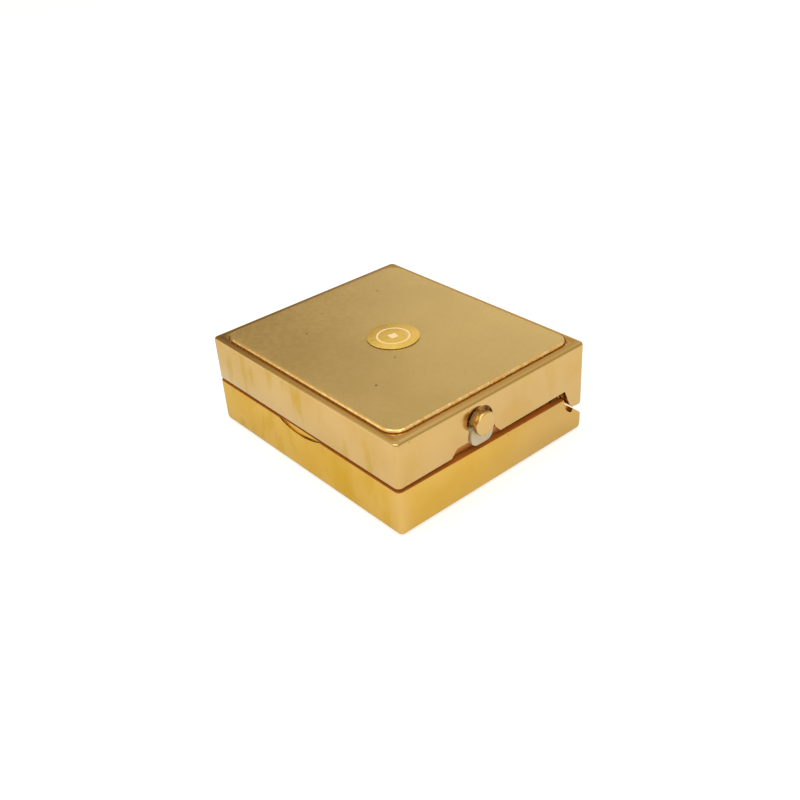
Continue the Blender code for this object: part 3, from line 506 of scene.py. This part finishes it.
def nylon():
    """Milky nylon, with faint moulding flow and a soft gloss."""
    m = Nodes("milky_nylon")
    flow = m.noise(500.0, 3.0, (1.0, 1.0, 0.4))
    m.set(Subsurface_Weight=0.35, Subsurface_Scale=0.8 * MM, Transmission_Weight=0.25, IOR=1.53)
    m.use(
        Base_Color=m.mix(m.range(flow, 0.35, 0.65), (0.52, 0.45, 0.28), (0.60, 0.53, 0.36)),
        Roughness=m.range(flow, 0.3, 0.7, 0.28, 0.42),
        Normal=m.bump(m.noise(1800.0, 2.0), 0.01 * MM, 0.4),
    )
    return m.material


def moulded_plastic():
    m = Nodes("moulded_tray")
    haze = m.noise(260.0, 3.0)
    m.set(Subsurface_Weight=0.1, Subsurface_Scale=0.6 * MM, IOR=1.5)
    m.use(
        Base_Color=m.mix(m.range(haze, 0.35, 0.65), (0.80, 0.79, 0.76), (0.86, 0.85, 0.82)),
        Roughness=m.range(m.noise(700.0, 2.0), 0.3, 0.7, 0.26, 0.40),
        Normal=m.bump(m.noise(1500.0, 2.0), 0.008 * MM, 0.4),
    )
    return m.material


def brushed_steel(name, stretch):
    """Steel with brush lines along the direction whose stretch is small."""
    m = Nodes(name)
    lines = m.noise(2600.0, 3.0, stretch)
    m.set(Metallic=1.0)
    m.use(
        Base_Color=m.mix(m.range(m.noise(300.0), 0.3, 0.7), (0.58, 0.57, 0.55), (0.68, 0.68, 0.67)),
        Roughness=m.range(lines, 0.3, 0.7, 0.20, 0.38),
        Normal=m.bump(lines, 0.01 * MM, 0.5),
    )
    return m.material


def silvered_mirror():
    m = Nodes("silvered_mirror")
    dust = m.specks(500.0, 0.05, 0.04)
    m.set(Metallic=1.0, Base_Color=(0.93, 0.94, 0.94))
    haze = m.maths("ADD", dust, m.range(m.noise(80.0), 0.5, 0.8))
    m.use(Roughness=m.range(haze, 0.0, 1.0, 0.015, 0.10))
    return m.material


def foam_tape():
    m = Nodes("foam_tape")
    cells = m.noise(3000.0, 3.0)
    m.set(Roughness=0.9)
    m.use(
        Base_Color=m.mix(m.range(cells, 0.3, 0.7), (0.03, 0.03, 0.03), (0.09, 0.09, 0.09)),
        Normal=m.bump(cells, 0.05 * MM, 0.7),
    )
    return m.material


# ---- edges and materials of the frame's own nodes ---------------------------------------------------
def dress(node, material, edge, segments):
    """Give a CAD node its material and, in modifiers, welded faces and softened edges."""
    obj = NODES[node]
    obj.data.materials.clear()
    obj.data.materials.append(material)
    obj.data.shade_smooth()
    weld = obj.modifiers.new("weld", "WELD")
    weld.merge_threshold = 0.001 * MM
    flat = obj.modifiers.new("flat", "DECIMATE")
    flat.decimate_type = "DISSOLVE"
    flat.angle_limit = radians(0.5)
    bevel = obj.modifiers.new("edge", "BEVEL")
    bevel.width = edge
    bevel.segments = segments
    bevel.limit_method = "ANGLE"
    bevel.angle_limit = radians(32)
    bevel.miter_outer = "MITER_ARC"
    bevel.harden_normals = True


def rest_box(node):
    low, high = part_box(node)
    return low, high, (low + high) / 2


def piece(name, bm, materials, node, body=None):
    """A finished mesh that stands for a CAD node and rides on its body, or on the one named."""
    mesh = bpy.data.meshes.new(name)
    bm.to_mesh(mesh)
    bm.free()
    for material in materials:
        mesh.materials.append(material)
    mesh.shade_smooth()
    obj = bpy.data.objects.new(name, mesh)
    bpy.context.scene.collection.objects.link(obj)
    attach(obj, body or NODES[node]["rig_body"])
    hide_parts(node)
    return obj


def ring_faces(bm, below, above, material=0):
    count = len(below)
    for i in range(count):
        j = (i + 1) % count
        face = bm.faces.new((below[i], below[j], above[j], above[i]))
        face.material_index = material


def rounded_outline(half_x, half_y, radius, steps):
    points = []
    for sx, sy, start in ((1, -1, -pi / 2), (1, 1, 0.0), (-1, 1, pi / 2), (-1, -1, pi)):
        for i in range(steps + 1):
            angle = start + (pi / 2) * i / steps
            points.append(
                (sx * (half_x - radius) + radius * cos(angle), sy * (half_y - radius) + radius * sin(angle))
            )
    return points


PLATE_CORNER = 2.8 * MM
PLATE_ROUND = 0.42 * MM
LABEL_STEPS = 176
LABEL_TEETH = 44
TOOTH_DEPTH = 0.07 * MM
FOIL_EDGE = 0.03 * MM  # from the label's top down to where the foil's upright edge ends
FOIL_SLOPE = 0.06 * MM  # width of the slope from there up to its face
PRINT_HEIGHT = 0.02 * MM
RING_INNER, RING_OUTER = 2.70 * MM, 3.00 * MM
LOZENGE_RADIUS = 1.05 * MM
LOZENGE_TURN = 0.6
CAP_STEPS = 64
CAP_THICKNESS = 0.9 * MM
CAP_STEM = 0.8 * MM
CAP_ROLL = 0.30 * MM
CAP_DOME = 0.08 * MM


def make_plate():
    """The raised plate: a satin face inside a rounded, polished edge."""
    low, high, centre = rest_box("lid_plate")
    half = (high - low) / 2
    bm = bmesh.new()
    steps = 7
    rows = [(0.0, low.z)]
    rows += [
        (PLATE_ROUND * (1 - cos(pi / 2 * i / steps)), high.z - PLATE_ROUND * (1 - sin(pi / 2 * i / steps)))
        for i in range(steps + 1)
    ]
    rings = []
    for inset, z in rows:
        outline = rounded_outline(half.x - inset, half.y - inset, PLATE_CORNER - inset, 16)
        rings.append([bm.verts.new((centre.x + x, centre.y + y, z)) for x, y in outline])
    for below, above in zip(rings, rings[1:]):
        ring_faces(bm, below, above, 1)
    bm.faces.new(rings[-1]).material_index = 0
    bm.faces.new(rings[0][::-1]).material_index = 1
    piece("plate", bm, [satin_gold(), cut_edge()], "lid_plate")


def circle(bm, centre, radius, height, count, turn=0.0):
    """A level ring of vertices."""
    angles = [turn + tau * i / count for i in range(count)]
    return [bm.verts.new((centre.x + radius * cos(a), centre.y + radius * sin(a), height)) for a in angles]


def make_label():
    """A thin foil disc with a finely notched edge and a plain ring and lozenge printed on it."""
    low, high, centre = rest_box("round_label")
    radius = (high.x - low.x) / 2
    top = high.z
    foot = top - PRINT_HEIGHT
    bm = bmesh.new()
    rings = []
    for z, inset in ((low.z, 0.0), (top - FOIL_EDGE, 0.0), (top - PRINT_HEIGHT / 2, FOIL_SLOPE)):
        ring = []
        for i in range(LABEL_STEPS):
            angle = tau * i / LABEL_STEPS
            r = radius - inset - TOOTH_DEPTH * (0.5 - 0.5 * cos(LABEL_TEETH * angle))
            ring.append(bm.verts.new((centre.x + r * cos(angle), centre.y + r * sin(angle), z)))
        rings.append(ring)
    for below, above in zip(rings, rings[1:]):
        ring_faces(bm, below, above)
    bm.faces.new(rings[-1])
    bm.faces.new(rings[0][::-1])

    corners = ((RING_OUTER, foot), (RING_OUTER, top), (RING_INNER, top), (RING_INNER, foot))
    loops = [circle(bm, centre, r, z, 96) for r, z in corners]
    for below, above in zip(loops, loops[1:] + loops[:1]):
        ring_faces(bm, below, above, 1)

    lower, upper = (circle(bm, centre, LOZENGE_RADIUS, z, 4, LOZENGE_TURN) for z in (foot, top))
    ring_faces(bm, lower, upper, 1)
    bm.faces.new(upper).material_index = 1
    bm.faces.new(lower[::-1]).material_index = 1
    label = piece("label", bm, [label_foil(), label_ink()], "round_label")
    label.data.set_sharp_from_angle(angle=radians(35))


def make_cap(gold):
    """The button's cap: a shallow dome with a rolled edge, and the stem behind it."""
    low, high, centre = rest_box("button_cap")
    radius = (high.z - low.z) / 2
    back = high.x - CAP_THICKNESS
    edge = high.x - CAP_DOME
    face = radius - CAP_ROLL
    profile = [(low.x, 0.0), (low.x, CAP_STEM), (back, CAP_STEM)]
    profile += [(back, radius - CAP_DOME), (back + CAP_DOME, radius)]
    for i in range(7):
        a = pi / 2 * i / 6
        profile.append((edge - CAP_ROLL * (1 - sin(a)), radius - CAP_ROLL * (1 - cos(a))))
    profile += [(high.x - CAP_DOME * (k / 5) ** 2, face * k / 5) for k in range(4, -1, -1)]
    bm = bmesh.new()
    rings = []
    for x, r in profile:
        angles = [tau * i / CAP_STEPS for i in range(CAP_STEPS if r else 1)]
        rings.append([bm.verts.new((x, centre.y + r * cos(a), centre.z + r * sin(a))) for a in angles])
    for below, above in zip(rings, rings[1:]):
        if len(below) == 1:
            for i in range(CAP_STEPS):
                bm.faces.new((below[0], above[(i + 1) % CAP_STEPS], above[i]))
        elif len(above) == 1:
            for i in range(CAP_STEPS):
                bm.faces.new((below[i], below[(i + 1) % CAP_STEPS], above[0]))
        else:
            ring_faces(bm, below, above)
    bmesh.ops.recalc_face_normals(bm, faces=bm.faces)
    cap = piece("cap", bm, [gold], "button_cap")
    cap.data.set_sharp_from_angle(angle=radians(40))


def make_spring(steel):
    """The coil spring, held by the bracket on the lid, which on the real box shortens as the button goes in;
    here it is a welded copy of the frame's mesh that rides rigidly on the lid.
    """
    bm = bmesh.new()
    bm.from_mesh(NODES["latch_spring"].data)
    bmesh.ops.remove_doubles(bm, verts=bm.verts, dist=0.001 * MM)
    spring = piece("spring_coil", bm, [steel], "latch_spring", "lid")
    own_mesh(spring)


def build():
    add_camera()
    add_studio()
    lid_gold = lid_gold_finish()
    base_gold = base_gold_finish()
    inner_gold = polished_gold("inner_gold", (0.66, 0.42, 0.16), (0.60, 0.36, 0.11), (0.42, 0.25, 0.06), 0.5)
    steel = brushed_steel("steel", (1.0, 0.1, 1.0))
    tray = moulded_plastic()

    finishes = (  # material, bevel in millimetres, bevel segments, nodes
        (base_gold, 0.16, 3, ("base_shell",)),
        (lid_gold, 0.14, 3, ("lid_shell",)),
        (seam_rim_shade(), 0.12, 3, ("base_rim",)),
        (inner_gold, 0.10, 3, ("hinge_barrel",)),
        (inner_gold, 0.15, 3, ("mirror_frame",)),
        (inner_satin(), 0.10, 3, ("latch_slider",)),
        (nylon(), 0.12, 3, ("latch_tongue",)),
        (brushed_steel("pin_steel", (1.0, 1.0, 1.0)), 0.08, 3, ("hinge_pin",)),
        (steel, 0.08, 3, ("strike_plate",)),
        (steel, 0.10, 3, ("latch_bracket",)),
        (steel, 0.05, 2, ("hinge_screw_1", "hinge_screw_2", "hinge_screw_3")),
        (steel, 0.05, 2, ("bracket_screw_1", "bracket_screw_2", "strike_rivet_1", "strike_rivet_2")),
        (tray, 0.20, 3, ("pill_tray",)),
        (tray, 0.12, 3, ("divider_long", "divider_cross_front", "divider_cross_back")),
        (foam_tape(), 0.08, 2, ("mirror_pad",)),
        (silvered_mirror(), 0.15, 2, ("mirror_glass",)),
    )
    for material, edge, segments, names in finishes:
        for name in names:
            dress(name, material, edge * MM, segments)
    make_plate()
    make_label()
    make_cap(lid_gold)
    make_spring(steel)


build()
